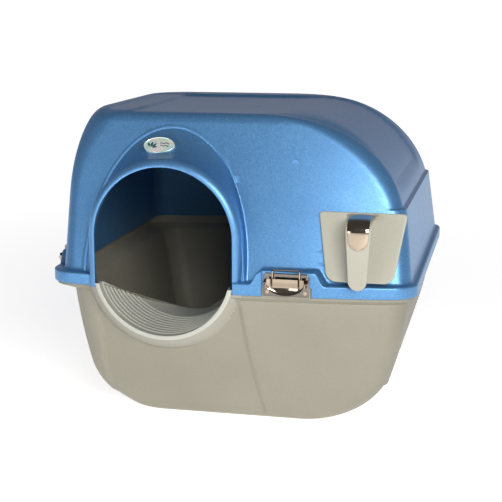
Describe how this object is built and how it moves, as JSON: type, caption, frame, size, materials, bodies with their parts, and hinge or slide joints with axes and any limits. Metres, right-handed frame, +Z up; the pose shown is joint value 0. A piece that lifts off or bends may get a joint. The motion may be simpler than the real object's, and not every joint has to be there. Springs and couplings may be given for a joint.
{
  "type": "cat litter box with hood",
  "caption": "Hooded litter box that is rolled on its side to sift, with a round entry, an inner filter screen, a pull-out waste tray and wire-loop latches.",
  "frame": {"origin": "on the floor, under the middle of the skirt's width and depth", "axes": "+Z up, +X to the right side that the box is rolled on, -Y out of the entry"},
  "size_m": [0.5295, 0.5539, 0.435],
  "materials": {
    "pan": "fine moulded grain, greige",
    "hood": "pearlescent blue, semi-gloss, fine grain",
    "step": "matte with moulded ribs",
    "tray": "satin cream",
    "screen": "matte dark plastic",
    "foil": "brushed pearly foil under a clear dome",
    "steel": "zinc plated",
    "chrome": "bright plated"
  },
  "bodies": {
    "box": {"base": "pan", "hood": "hood", "entry_step": "step", "badge": "foil", "filter_screen": "screen", "screen_screws": "steel", "tray_channel": "screen", "channel_screws": "steel", "latch_rivets": "chrome", "front_latch_plate": "chrome", "front_latch_pin": "chrome", "back_latch_plate": "chrome", "back_latch_pin": "chrome", "left_front_latch_plate": "chrome", "left_front_latch_pin": "chrome", "left_rear_latch_plate": "chrome", "left_rear_latch_pin": "chrome"},
    "waste_tray": {"waste_tray": "tray", "tray_front": "tray", "tray_screws": "steel", "handle_cap": "chrome"},
    "front_lever": {"front_latch_lever": "chrome"},
    "front_loop": {"front_latch_loop": "chrome"},
    "back_lever": {"back_latch_lever": "chrome"},
    "back_loop": {"back_latch_loop": "chrome"},
    "left_front_lever": {"left_front_latch_lever": "chrome"},
    "left_front_loop": {"left_front_latch_loop": "chrome"},
    "left_rear_lever": {"left_rear_latch_lever": "chrome"},
    "left_rear_loop": {"left_rear_latch_loop": "chrome"}
  },
  "joints": [
    {"name": "tray_slide", "type": "slide", "parent": "box", "child": "waste_tray", "axis": [0, -1, 0], "range_m": [0, 0.42]},
    {"name": "front_lever_hinge", "type": "hinge", "parent": "box", "child": "front_lever", "pos_m": [0.088, -0.27175, 0.216], "axis": [-1, 0, 0], "range_deg": [0, 90]},
    {"name": "front_loop_hinge", "type": "hinge", "parent": "front_lever", "child": "front_loop", "pos_m": [0.088, -0.26825, 0.21], "axis": [-1, 0, 0], "range_deg": [-99, 0]},
    {"name": "back_lever_hinge", "type": "hinge", "parent": "box", "child": "back_lever", "pos_m": [0.088, 0.27175, 0.216], "axis": [1, 0, 0], "range_deg": [0, 90]},
    {"name": "back_loop_hinge", "type": "hinge", "parent": "back_lever", "child": "back_loop", "pos_m": [0.088, 0.26825, 0.21], "axis": [1, 0, 0], "range_deg": [-99, 0]},
    {"name": "left_front_lever_hinge", "type": "hinge", "parent": "box", "child": "left_front_lever", "pos_m": [-0.2665, -0.148, 0.216], "axis": [0, 1, 0], "range_deg": [0, 90]},
    {"name": "left_front_loop_hinge", "type": "hinge", "parent": "left_front_lever", "child": "left_front_loop", "pos_m": [-0.263, -0.148, 0.21], "axis": [0, 1, 0], "range_deg": [-99, 0]},
    {"name": "left_rear_lever_hinge", "type": "hinge", "parent": "box", "child": "left_rear_lever", "pos_m": [-0.2665, 0.148, 0.216], "axis": [0, 1, 0], "range_deg": [0, 90]},
    {"name": "left_rear_loop_hinge", "type": "hinge", "parent": "left_rear_lever", "child": "left_rear_loop", "pos_m": [-0.263, 0.148, 0.21], "axis": [0, 1, 0], "range_deg": [-99, 0]}
  ],
  "couplings": [
    {"joint": "front_loop_hinge", "follows": "front_lever_hinge", "ratio": -1.1},
    {"joint": "back_loop_hinge", "follows": "back_lever_hinge", "ratio": -1.1},
    {"joint": "left_front_loop_hinge", "follows": "left_front_lever_hinge", "ratio": -1.1},
    {"joint": "left_rear_loop_hinge", "follows": "left_rear_lever_hinge", "ratio": -1.1}
  ]
}
